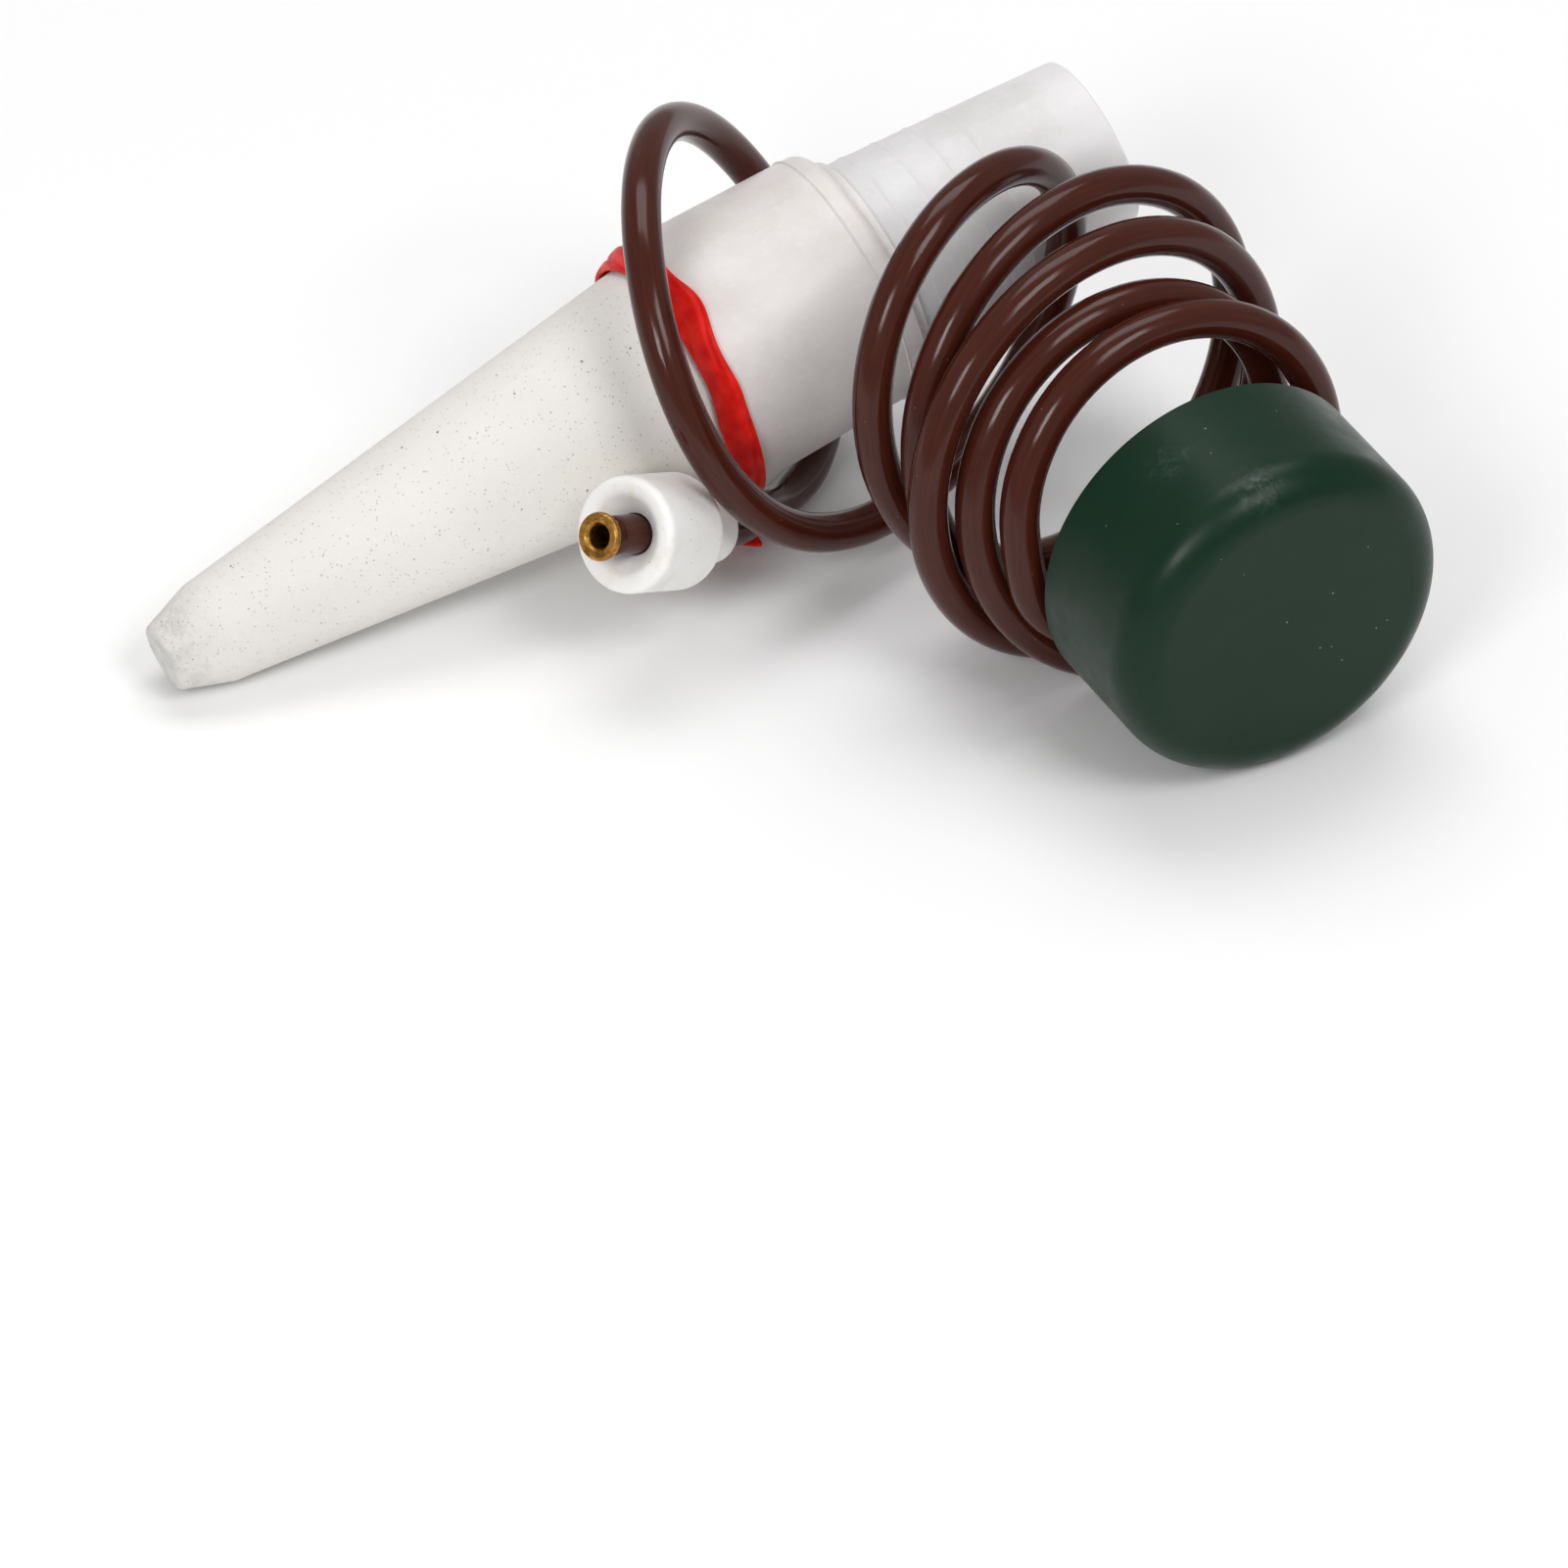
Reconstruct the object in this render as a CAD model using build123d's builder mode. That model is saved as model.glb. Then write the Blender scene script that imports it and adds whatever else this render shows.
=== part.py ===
"""Self watering spike, laid out with its cap off: a porous ceramic cone in a plastic collar and neck,
a hose wound beside it, a cap on one end of the hose and a sinker weight on the other.

Millimetres. The floor is Z = 0, the spike's tip points to -X and the origin is on the floor,
in the middle of the spike and the cap as they lie.
"""
import math
import os

from build123d import *

# Layout on the floor
laid_length = 136.8  # X size of the spike and the cap
laid_width = 99.1  # Y size of the spike and the cap
spike_incline = 13.3  # the neck end is raised, because the collar rests on the hose

# Ceramic cone, measured along the spike's axis from the tip
tip_radius = 4.5
tip_edge = 0.3
tip_length = 6.6
tip_shoulder_radius = 6.75
cone_length = 76.4  # from the tip to the collar's edge
cone_top_radius = 15.4
cone_plug_length = 16.0  # hidden in the collar
cone_wall = 4.0
cone_floor = 14.0

# Collar, a sleeve over the cone's end
collar_length = 25.6
collar_wall = 1.8
collar_draft = 0.55  # the sleeve is this much narrower at its shoulder
collar_round = 1.6
collar_edge = 0.5
collar_bead = 0.2
collar_bead_inset = 3.0  # from the shoulder to the raised ring
collar_lip_length = 1.4  # the thin step round the neck
collar_lip_wall = 0.7
glue_gap = 0.1

# Seal between the cone and the neck
cone_seal_thickness = 1.5
cone_seal_wall = 3.6

# Neck tube, held in the collar by its flange
neck_flange = 2.0
neck_flange_step = 1.7
neck_mouth_radius = 11.3
neck_length = 33.1  # stands out of the collar's lip
neck_wall = 1.4
neck_bore_length = 14.0
neck_rim_edge = 0.3
neck_rings = 4
neck_ring_first = 3.0
neck_ring_pitch = 4.6
neck_ring_height = 0.1
neck_ring_width = 1.2

# Cap
cap_radius = 22.7
cap_height = 20.5
cap_round = 5.0
cap_wall = 1.9
socket_clearance = 0.3
socket_wall = 1.4
socket_length = 14.5
cap_seal_thickness = 1.2
cap_seal_wall = 3.2

# Hose
hose_radius = 2.5
hose_bore_radius = 1.6
hose_sides = 10

# Nipple in the cap that the hose is pushed on, and the gallery from it to the socket
nipple_angle = -105.0
nipple_radius = 1.55
nipple_channel_radius = 0.7
nipple_length = 5.8
nipple_run = 2.0  # straight hose in front of the nipple
gallery_height = 2.2
gallery_width = 3.4
hose_stop_gap = 0.4

# Sinker weight on the hose
sinker_front = (-15.5, 8.1, 21.3)
sinker_heading = 200.2
sinker_tilt = 28.7
sinker_radius = 7.35
sinker_length = 11.6
sinker_edge = 1.2
sinker_dish_radius = 5.4
sinker_dish_depth = 2.6
sinker_hub_radius = 4.4
sinker_hub_length = 7.4
sinker_hub_edge = 0.8
sinker_bore_clearance = 0.1

# Eyelet in the hose's free end
hose_stand_out = 4.6
eyelet_flange_radius = 3.05
eyelet_flange = 0.9
eyelet_wall = 0.3
eyelet_length = 5.0

# Tie round the cone, against the collar's edge
tie_width = 3.6
tie_thickness = 1.6
tie_edge = 0.6
tie_crease = 0.4
tie_gap = 0.2
tie_tail_width = 3.0
tie_tail_length = 10.8
tie_tail_thickness = 0.8
tie_tail_slant = 1.6
tie_tail_angle = 14.0  # the tail leaves the ring here, from straight below towards the sinker
tie_tail_heading = -91.0
tie_tail_fall = 23.5

# Wound hose: one value for each turn, from the loop round the spike to the loop in the cap's mouth
turn_x = (3.9, 24.1, 41.4, 42.5, 39.2, 43.5, 47.4)
turn_y = (46.9, 14.3, -0.5, -6.9, -14.9, -18.9, -29.8)
turn_heading = (-53, -68, -78, -82, -86, -88, -102)
turn_tilt = (65, 8, 9, 9, 5, 15, 12)
turn_radius = (28.1, 25.1, 25.7, 26.4, 24.8, 22.6, 24.4)
turn_lift = (1.2, 5.2, 3.1, 1.4, 0.2, 0.3, 1.6)
coil_start = 1
coil_quarters = 19
coil_straight = 5.0  # each end of the coil runs straight
loop_points = 12  # route points in the loop round the spike
bend_room = 2.25  # a bend takes up the shorter run's length divided by this
sinker_tail = 2.0  # straight hose behind the sinker
lead_run = 4.0
lead_points = ((10.6, 20.2, 6.6), (15.6, 23.4, 3.9), (23.7, 28.9, 2.9))
tail_run = 5.0
tail_points = (
    (24.5, -25.2, 17.2),
    (28.3, -25.6, 13.2),
    (33.1, -26.9, 10.2),
    (37.5, -29.6, 8.0),
    (40.3, -33.3, 6.6),
)

# Axes of the spike
incline = math.radians(spike_incline)
collar_radius = cone_top_radius + glue_gap + collar_wall
neck_root_radius = cone_top_radius - neck_flange_step
axis_dir = Vector(math.cos(incline), 0, math.sin(incline))
radial_dir = Vector(-math.sin(incline), 0, math.cos(incline))
tip_centre = Vector(
    -laid_length / 2 + tip_radius * math.sin(incline),
    laid_width / 2 - collar_radius,
    tip_shoulder_radius * math.cos(incline) - tip_length * math.sin(incline),
)
spike_axis = Axis(tip_centre, axis_dir)
spike_profile = Plane(origin=tip_centre, x_dir=radial_dir, z_dir=(0, 1, 0))

# Heights along the spike
plug_end = cone_length + cone_plug_length
flange_start = plug_end + cone_seal_thickness
flange_end = flange_start + neck_flange
shoulder = cone_length + collar_length
lip_end = shoulder + collar_lip_length
neck_end = lip_end + neck_length


def cone_radius(height):
    """Outer radius of the ceramic between the tip's shoulder and the collar's edge."""
    share = (height - tip_length) / (cone_length - tip_length)
    return tip_shoulder_radius + share * (cone_top_radius - tip_shoulder_radius)


with BuildPart() as ceramic_cone:
    with BuildSketch(spike_profile):
        with BuildLine():
            Polyline(
                (0, 0),
                (tip_radius - tip_edge, 0),
                (tip_radius, tip_edge),
                (tip_shoulder_radius, tip_length),
                (cone_top_radius, cone_length),
                (cone_top_radius, plug_end),
                (cone_top_radius - cone_wall, plug_end),
                (cone_top_radius - cone_wall, cone_length),
                (cone_radius(cone_floor) - cone_wall, cone_floor),
                (0, cone_floor),
                close=True,
            )
        make_face()
    revolve(axis=spike_axis)
ceramic_cone.part.label = "ceramic_cone"

with BuildPart() as collar:
    collar_top_radius = collar_radius - collar_draft
    collar_bore_radius = cone_top_radius + glue_gap
    lip_bore_radius = neck_root_radius + glue_gap
    with BuildSketch(spike_profile):
        with BuildLine():
            Polyline(
                (collar_bore_radius, cone_length),
                (collar_radius - collar_edge, cone_length),
                (collar_radius, cone_length + collar_edge),
                (collar_top_radius, shoulder - collar_round),
            )
            RadiusArc(
                (collar_top_radius, shoulder - collar_round),
                (collar_top_radius - collar_round, shoulder),
                -collar_round,
            )
            Polyline(
                (collar_top_radius - collar_round, shoulder),
                (lip_bore_radius + collar_lip_wall, shoulder),
                (lip_bore_radius + collar_lip_wall, lip_end),
                (lip_bore_radius, lip_end),
                (lip_bore_radius, flange_end),
                (collar_bore_radius, flange_end),
                (collar_bore_radius, cone_length),
            )
        make_face()
    revolve(axis=spike_axis)
    bead_height = shoulder - collar_bead_inset
    collar_slope = collar_draft / (collar_length - collar_round)
    bead_radius = collar_radius - collar_slope * (bead_height - cone_length)
    with BuildSketch(spike_profile):
        with BuildLine():
            Polyline(
                (bead_radius - collar_bead, bead_height - 2 * collar_bead),
                (bead_radius + collar_bead, bead_height),
                (bead_radius - collar_bead, bead_height + 2 * collar_bead),
                close=True,
            )
        make_face()
    revolve(axis=spike_axis)
collar.part.label = "collar"

with BuildPart() as cone_seal:
    with BuildSketch(spike_profile):
        with BuildLine():
            Polyline(
                (cone_top_radius - cone_seal_wall, plug_end),
                (cone_top_radius, plug_end),
                (cone_top_radius, flange_start),
                (cone_top_radius - cone_seal_wall, flange_start),
                close=True,
            )
        make_face()
    revolve(axis=spike_axis)
cone_seal.part.label = "cone_seal"

with BuildPart() as neck_tube:
    neck_bore_radius = neck_mouth_radius - neck_wall
    with BuildSketch(spike_profile):
        with BuildLine():
            Polyline(
                (neck_root_radius - neck_wall, flange_start),
                (cone_top_radius, flange_start),
                (cone_top_radius, flange_end),
                (neck_root_radius, flange_end),
                (neck_root_radius, lip_end),
                (neck_mouth_radius, neck_end - neck_rim_edge),
                (neck_mouth_radius - neck_rim_edge, neck_end),
                (neck_bore_radius, neck_end),
                (neck_bore_radius, neck_end - neck_bore_length),
                (neck_root_radius - neck_wall, lip_end),
                close=True,
            )
        make_face()
    revolve(axis=spike_axis)
    neck_slope = (neck_root_radius - neck_mouth_radius) / neck_length
    for ring in range(neck_rings):
        ring_height = lip_end + neck_ring_first + ring * neck_ring_pitch
        ring_radius = neck_root_radius - neck_slope * (ring_height - lip_end)
        with BuildSketch(spike_profile):
            with BuildLine():
                Polyline(
                    (ring_radius - neck_ring_height, ring_height - neck_ring_width / 2),
                    (ring_radius + neck_ring_height, ring_height),
                    (ring_radius - neck_ring_height, ring_height + neck_ring_width / 2),
                    close=True,
                )
            make_face()
        revolve(axis=spike_axis)
neck_tube.part.label = "neck_tube"

# The cap lies on its side, with its closed face to -Y
cap_rim = Vector(laid_length / 2 - cap_radius, -laid_width / 2 + cap_height, cap_radius)
cap_plane = Plane(origin=cap_rim, x_dir=(1, 0, 0), z_dir=(0, -1, 0))
cap_axis = Axis(cap_rim, (0, -1, 0))
cap_ceiling = cap_height - cap_wall
socket_radius = neck_mouth_radius + (neck_root_radius - neck_mouth_radius) * socket_length / neck_length
socket_bore_radius = socket_radius + socket_clearance
socket_mouth = cap_ceiling - socket_length
gallery_floor = cap_ceiling - gallery_height
nipple_tip = gallery_floor - nipple_length
nipple_turn = math.radians(nipple_angle)
nipple_orbit = (socket_bore_radius + socket_wall + cap_radius - cap_wall) / 2
nipple_x = nipple_orbit * math.cos(nipple_turn)
nipple_y = nipple_orbit * math.sin(nipple_turn)

with BuildPart() as cap:
    with BuildSketch(cap_plane):
        Circle(cap_radius)
    extrude(amount=cap_height)
    fillet(cap.edges().sort_by(cap_axis)[-1], cap_round)
    offset(amount=-cap_wall, openings=cap.faces().sort_by(cap_axis)[0])
    with BuildSketch(cap_plane.offset(socket_mouth)):
        Circle(socket_bore_radius + socket_wall)
    extrude(amount=cap_height - cap_wall / 2 - socket_mouth)
    with BuildSketch(cap_plane.offset(gallery_floor)):
        with PolarLocations(nipple_orbit / 2, 1, start_angle=nipple_angle):
            Rectangle(nipple_orbit + gallery_width, gallery_width)
    extrude(amount=cap_height - cap_wall / 2 - gallery_floor)
    with BuildSketch(cap_plane.offset(nipple_tip)):
        with Locations((nipple_x, nipple_y)):
            Circle(nipple_radius)
    extrude(amount=nipple_length)
    with BuildSketch(cap_plane.offset(socket_mouth)):
        Circle(socket_bore_radius)
    extrude(amount=socket_length, mode=Mode.SUBTRACT)
    with BuildSketch(cap_plane.offset(nipple_tip)):
        with Locations((nipple_x, nipple_y)):
            Circle(nipple_channel_radius)
    extrude(amount=nipple_length + gallery_height / 2, mode=Mode.SUBTRACT)
    gallery_plane = Plane(
        origin=cap_plane.from_local_coords((nipple_x, nipple_y, gallery_floor + gallery_height / 2)),
        z_dir=(-math.cos(nipple_turn), 0, -math.sin(nipple_turn)),
    )
    with BuildSketch(gallery_plane):
        Circle(nipple_channel_radius)
    extrude(amount=nipple_orbit - socket_bore_radius + socket_wall, mode=Mode.SUBTRACT)
cap.part.label = "cap"

with BuildPart() as cap_seal:
    with BuildSketch(cap_plane.offset(cap_ceiling - cap_seal_thickness)):
        Circle(socket_bore_radius)
        Circle(socket_bore_radius - cap_seal_wall, mode=Mode.SUBTRACT)
    extrude(amount=cap_seal_thickness)
cap_seal.part.label = "cap_seal"

# The sinker and the eyelet are on one line, which points out of the hose's free end
heading = math.radians(sinker_heading)
tilt = math.radians(sinker_tilt)
front_dir = Vector(
    math.cos(heading) * math.cos(tilt), math.sin(heading) * math.cos(tilt), math.sin(tilt)
)
sinker_side = Vector(-math.sin(heading), math.cos(heading), 0)
sinker_profile = Plane(origin=sinker_front, x_dir=sinker_side, z_dir=sinker_side.cross(front_dir))
sinker_axis = Axis(sinker_front, front_dir)
sinker_rear = sinker_length + sinker_hub_length

with BuildPart() as sinker_weight:
    bore_radius = hose_radius + sinker_bore_clearance
    with BuildSketch(sinker_profile):
        with BuildLine():
            Polyline(
                (bore_radius, -sinker_dish_depth),
                (sinker_dish_radius, 0),
                (sinker_radius - sinker_edge, 0),
            )
            RadiusArc((sinker_radius - sinker_edge, 0), (sinker_radius, -sinker_edge), sinker_edge)
            Line((sinker_radius, -sinker_edge), (sinker_radius, -sinker_length + sinker_edge))
            RadiusArc(
                (sinker_radius, -sinker_length + sinker_edge),
                (sinker_radius - sinker_edge, -sinker_length),
                sinker_edge,
            )
            Polyline(
                (sinker_radius - sinker_edge, -sinker_length),
                (sinker_hub_radius, -sinker_length),
                (sinker_hub_radius, -sinker_rear + sinker_hub_edge),
                (sinker_hub_radius - sinker_hub_edge, -sinker_rear),
                (bore_radius, -sinker_rear),
                (bore_radius, -sinker_dish_depth),
            )
        make_face()
    revolve(axis=sinker_axis)
sinker_weight.part.label = "sinker_weight"

with BuildPart() as brass_eyelet:
    barrel_bore = hose_bore_radius - eyelet_wall
    flange_face = hose_stand_out + eyelet_flange
    with BuildSketch(sinker_profile):
        with BuildLine():
            Polyline(
                (barrel_bore, hose_stand_out - eyelet_length),
                (hose_bore_radius, hose_stand_out - eyelet_length),
                (hose_bore_radius, hose_stand_out),
                (eyelet_flange_radius, hose_stand_out),
            )
            RadiusArc(
                (eyelet_flange_radius, hose_stand_out),
                (eyelet_flange_radius - eyelet_flange, flange_face),
                -eyelet_flange,
            )
            Polyline(
                (eyelet_flange_radius - eyelet_flange, flange_face),
                (barrel_bore + eyelet_wall, flange_face),
                (barrel_bore, flange_face - eyelet_wall),
                (barrel_bore, hose_stand_out - eyelet_length),
            )
        make_face()
    revolve(axis=sinker_axis)
brass_eyelet.part.label = "brass_eyelet"

with BuildPart() as red_tie:
    tie_start = cone_length - tie_gap - tie_width
    tie_end = cone_length - tie_gap
    tie_middle = (tie_start + tie_end) / 2
    tie_back = tie_gap + tie_thickness
    with BuildSketch(spike_profile):
        with BuildLine():
            Polyline(
                (cone_radius(tie_start) + tie_gap, tie_start),
                (cone_radius(tie_start) + tie_back - tie_edge, tie_start),
                (cone_radius(tie_start) + tie_back, tie_start + tie_edge),
                (cone_radius(tie_middle) + tie_back - tie_crease, tie_middle),
                (cone_radius(tie_end) + tie_back, tie_end - tie_edge),
                (cone_radius(tie_end) + tie_back - tie_edge, tie_end),
                (cone_radius(tie_end) + tie_gap, tie_end),
                close=True,
            )
        make_face()
    revolve(axis=spike_axis)
    leave = math.radians(tie_tail_angle)
    leave_dir = Vector(0, -math.sin(leave), 0) - math.cos(leave) * radial_dir
    leave_radius = cone_radius(tie_middle) + tie_gap + tie_thickness / 2
    tie_tail_root = tip_centre + tie_middle * axis_dir + leave_radius * leave_dir
    fall = math.radians(tie_tail_fall)
    swing = math.radians(tie_tail_heading)
    tail_dir = Vector(
        math.cos(swing) * math.cos(fall), math.sin(swing) * math.cos(fall), -math.sin(fall)
    )
    tail_across = Vector(-math.sin(swing), math.cos(swing), 0)
    tail_plane = Plane(origin=tie_tail_root, x_dir=tail_dir, z_dir=tail_dir.cross(tail_across))
    with BuildSketch(tail_plane):
        with BuildLine():
            Polyline(
                (0, -tie_tail_width / 2),
                (tie_tail_length - tie_tail_slant, -tie_tail_width / 2),
                (tie_tail_length, tie_tail_width / 2),
                (0, tie_tail_width / 2),
                close=True,
            )
        make_face()
    extrude(amount=-tie_tail_thickness)
red_tie.part.label = "red_tie"


def turn_value(values, turn):
    """Smooth value between the turns that the list names."""
    first = min(int(turn), len(values) - 2)
    share = turn - first
    before = values[first - 1] if first else 2 * values[0] - values[1]
    here = values[first]
    there = values[first + 1]
    after = values[first + 2] if first + 2 < len(values) else 2 * there - here
    bend = 2 * before - 5 * here + 4 * there - after + share * (3 * (here - there) + after - before)
    return here + share / 2 * (there - before + share * bend)


def hose_at(turn, swell=1.0):
    """Middle of the wound hose, a whole turn being at the bottom of its loop."""
    heading = math.radians(turn_value(turn_heading, turn))
    tilt = math.radians(turn_value(turn_tilt, turn))
    radius = turn_value(turn_radius, turn)
    side = Vector(-math.sin(heading), math.cos(heading), 0)
    up = Vector(-math.cos(heading) * math.sin(tilt), -math.sin(heading) * math.sin(tilt), math.cos(tilt))
    height = radius * math.cos(tilt) + hose_radius + turn_value(turn_lift, turn)
    centre = Vector(turn_value(turn_x, turn), turn_value(turn_y, turn), height)
    angle = 2 * math.pi * turn
    return centre + swell * radius * (math.sin(angle) * side - math.cos(angle) * up)


def hose_heading(turn):
    """Direction of the wound hose."""
    step = 0.0005
    return (hose_at(turn + step) - hose_at(turn - step)).normalized()


def biarc_joint(start, start_dir, end, end_dir):
    """Point and direction where two tangent arcs from start to end meet."""
    chord = end - start
    both = start_dir + end_dir
    spare = 4 - both.dot(both)
    along = chord.dot(both)
    handle = (math.sqrt(along**2 + spare * chord.dot(chord)) - along) / spare
    from_start = start + handle * start_dir
    from_end = end - handle * end_dir
    return (from_start + from_end) / 2, (from_end - from_start).normalized()


def bend_radii(name, points, straight_end=0):
    """Largest even bends that the runs of a route leave room for, its last stretch staying straight."""
    runs = [after - before for before, after in zip(points, points[1:])]
    rooms = [run.length / bend_room for run in runs]
    rooms[-1] = min(rooms[-1], runs[-1].length - straight_end)
    radii = []
    for corner in range(len(runs) - 1):
        half_turn = math.radians(runs[corner].get_angle(runs[corner + 1])) / 2
        radii.append(min(rooms[corner], rooms[corner + 1]) / math.tan(half_turn))
    print(name, "bend radii", [round(radius, 1) for radius in radii])
    return radii


# The end of the hose that the sinker slides on
front = Vector(sinker_front)
hose_mouth = front + hose_stand_out * front_dir
sinker_exit = front - (sinker_rear + sinker_tail) * front_dir
with BuildPart() as hose_end:
    with BuildSketch(Plane(origin=sinker_exit, z_dir=front_dir)):
        Circle(hose_radius)
        Circle(hose_bore_radius, mode=Mode.SUBTRACT)
    extrude(amount=(hose_mouth - sinker_exit).length)
hose_end.part.label = "hose_end"

# From the sinker under the collar, and once round the spike
loop_swell = 1 / math.cos(math.pi / loop_points)
loop_turns = [(2 * point + 1) / (2 * loop_points) for point in range(1, loop_points)]
loop_route = [hose_at(turn, loop_swell) for turn in loop_turns]
lead_route = [sinker_exit]
lead_route += [sinker_exit - lead_run * front_dir]
lead_route += [Vector(point) for point in lead_points]
lead_route += loop_route
lead_route += [hose_at(coil_start)]
with BuildPart() as hose_lead:
    with BuildLine():
        FilletPolyline(*lead_route, radius=bend_radii("hose_lead", lead_route))
    with BuildSketch(Plane(origin=lead_route[0], z_dir=lead_route[1] - lead_route[0])):
        RegularPolygon(hose_radius, hose_sides)
    sweep()
hose_lead.part.label = "hose_lead"

# The turns beside the spike
quarters = [coil_start + quarter / 4 for quarter in range(coil_quarters + 1)]
coil_end = quarters[-1]
coil_points = [hose_at(turn) for turn in quarters]
coil_dirs = [hose_heading(turn) for turn in quarters]
coil_dirs[0] = (lead_route[-1] - lead_route[-2]).normalized()
coil_points[0] += coil_straight * coil_dirs[0]
coil_points[-1] -= coil_straight * coil_dirs[-1]
with BuildPart() as hose_coil:
    with BuildLine():
        Line(hose_at(coil_start), coil_points[0])
        for start, start_dir, end, end_dir in zip(coil_points, coil_dirs, coil_points[1:], coil_dirs[1:]):
            joint, joint_dir = biarc_joint(start, start_dir, end, end_dir)
            TangentArc(start, joint, tangent=start_dir)
            TangentArc(joint, end, tangent=joint_dir)
        Line(coil_points[-1], hose_at(coil_end))
    with BuildSketch(Plane(origin=hose_at(coil_start), z_dir=coil_dirs[0])):
        RegularPolygon(hose_radius, hose_sides)
    sweep()
hose_coil.part.label = "hose_coil"

quarter_steps = 30
coil_steps = range(coil_quarters * quarter_steps + 1)
coil_line = [hose_at(coil_start + step / (4 * quarter_steps)) for step in coil_steps]
coil_gap = min(
    (coil_line[one] - coil_line[other]).length
    for one in range(0, len(coil_line), 2)
    for other in range(one + 2 * quarter_steps, len(coil_line))
)
print("hose_coil least gap to itself", round(coil_gap - 2 * hose_radius, 2))

# From the last turn into the cap, on to its nipple
nipple_seat = cap_plane.from_local_coords((nipple_x, nipple_y, gallery_floor - hose_stop_gap))
nipple_entry = cap_plane.from_local_coords((nipple_x, nipple_y, nipple_tip - nipple_run))
tail_start = hose_at(coil_end)
tail_route = [tail_start, tail_start + tail_run * hose_heading(coil_end)]
tail_route += [Vector(point) for point in tail_points]
tail_route += [Vector(nipple_entry), Vector(nipple_seat)]
with BuildPart() as hose_tail:
    with BuildLine():
        FilletPolyline(*tail_route, radius=bend_radii("hose_tail", tail_route, nipple_length))
    with BuildSketch(Plane(origin=tail_start, z_dir=hose_heading(coil_end))):
        RegularPolygon(hose_radius, hose_sides)
    sweep()
    with BuildSketch(Plane(origin=nipple_seat, z_dir=(0, 1, 0))):
        Circle(hose_bore_radius)
    extrude(amount=nipple_length, mode=Mode.SUBTRACT)
hose_tail.part.label = "hose_tail"

pieces = [
    ceramic_cone,
    collar,
    cone_seal,
    neck_tube,
    cap,
    cap_seal,
    sinker_weight,
    brass_eyelet,
    red_tie,
    hose_end,
    hose_lead,
    hose_coil,
    hose_tail,
]
os.makedirs("parts", exist_ok=True)
for piece in pieces:
    export_step(piece.part, f"parts/{piece.part.label}.step")
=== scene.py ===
"""Looks of the self watering spike: its hose, tie, sinker and eyelet, its materials, and the studio."""
import math

import bmesh
import bpy
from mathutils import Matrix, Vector


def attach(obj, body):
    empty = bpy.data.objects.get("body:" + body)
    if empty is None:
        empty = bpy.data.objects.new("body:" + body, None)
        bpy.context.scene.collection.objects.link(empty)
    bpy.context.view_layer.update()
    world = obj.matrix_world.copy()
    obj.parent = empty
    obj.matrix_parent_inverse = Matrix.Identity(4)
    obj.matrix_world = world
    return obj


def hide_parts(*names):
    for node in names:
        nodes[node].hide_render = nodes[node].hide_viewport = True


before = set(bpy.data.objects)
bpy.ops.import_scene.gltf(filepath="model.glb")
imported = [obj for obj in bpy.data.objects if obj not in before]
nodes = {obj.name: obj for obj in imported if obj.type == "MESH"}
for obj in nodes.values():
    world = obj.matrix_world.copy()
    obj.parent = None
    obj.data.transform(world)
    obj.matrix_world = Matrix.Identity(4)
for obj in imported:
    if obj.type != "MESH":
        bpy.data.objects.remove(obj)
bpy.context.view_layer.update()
MM = 0.001


def direction(heading, tilt):
    """Unit vector from a heading on the floor and a tilt above it, both in degrees."""
    heading, tilt = math.radians(heading), math.radians(tilt)
    return Vector((math.cos(heading) * math.cos(tilt), math.sin(heading) * math.cos(tilt), math.sin(tilt)))


# The spike's tip, in metres, and its axis
INCLINE = 13.3
TIP = Vector((-67.365, 32.25, 5.051)) * MM
AXIS = direction(0, INCLINE)
RISE = direction(180, 90 - INCLINE)
FRONT = Vector((0, -1, 0))

# The ceramic's outside, in millimetres: where its blunt tip ends, and where it goes into the collar
CONE_START = 6.6
CONE_START_RADIUS = 6.75
CONE_END = 76.4
CONE_END_RADIUS = 15.4

# The middle of the sinker's front face, in millimetres, and the way it looks
SINKER_FRONT = Vector((-15.5, 8.1, 21.3))
SINKER_DIR = direction(200.2, 28.7)


# Material nodes

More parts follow.
